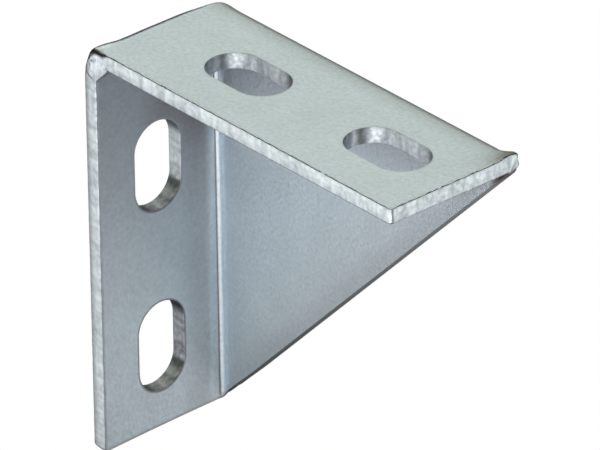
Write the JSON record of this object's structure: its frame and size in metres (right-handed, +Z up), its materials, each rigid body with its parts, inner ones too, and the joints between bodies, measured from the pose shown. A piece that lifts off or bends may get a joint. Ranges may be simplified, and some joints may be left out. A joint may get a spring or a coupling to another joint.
{
  "type": "angle bracket",
  "caption": "Angle bracket folded from zinc-plated sheet steel: a triangular web stiffens slotted flanges set square to each other, with a weld along the heel.",
  "frame": {"origin": "midway between the slots of the wall flange, on its outer face", "axes": "+X out from the wall along the top flange, +Z up along the wall flange, +Y across the flanges towards the web"},
  "size_m": [0.1, 0.0387, 0.1],
  "materials": {
    "zinc_plated_steel": "electro-plated bright zinc, clear passivated, satin on the rolled faces and brighter on the sheared edges"
  },
  "bodies": {
    "root": {"bracket": "zinc_plated_steel"}
  },
  "joints": []
}
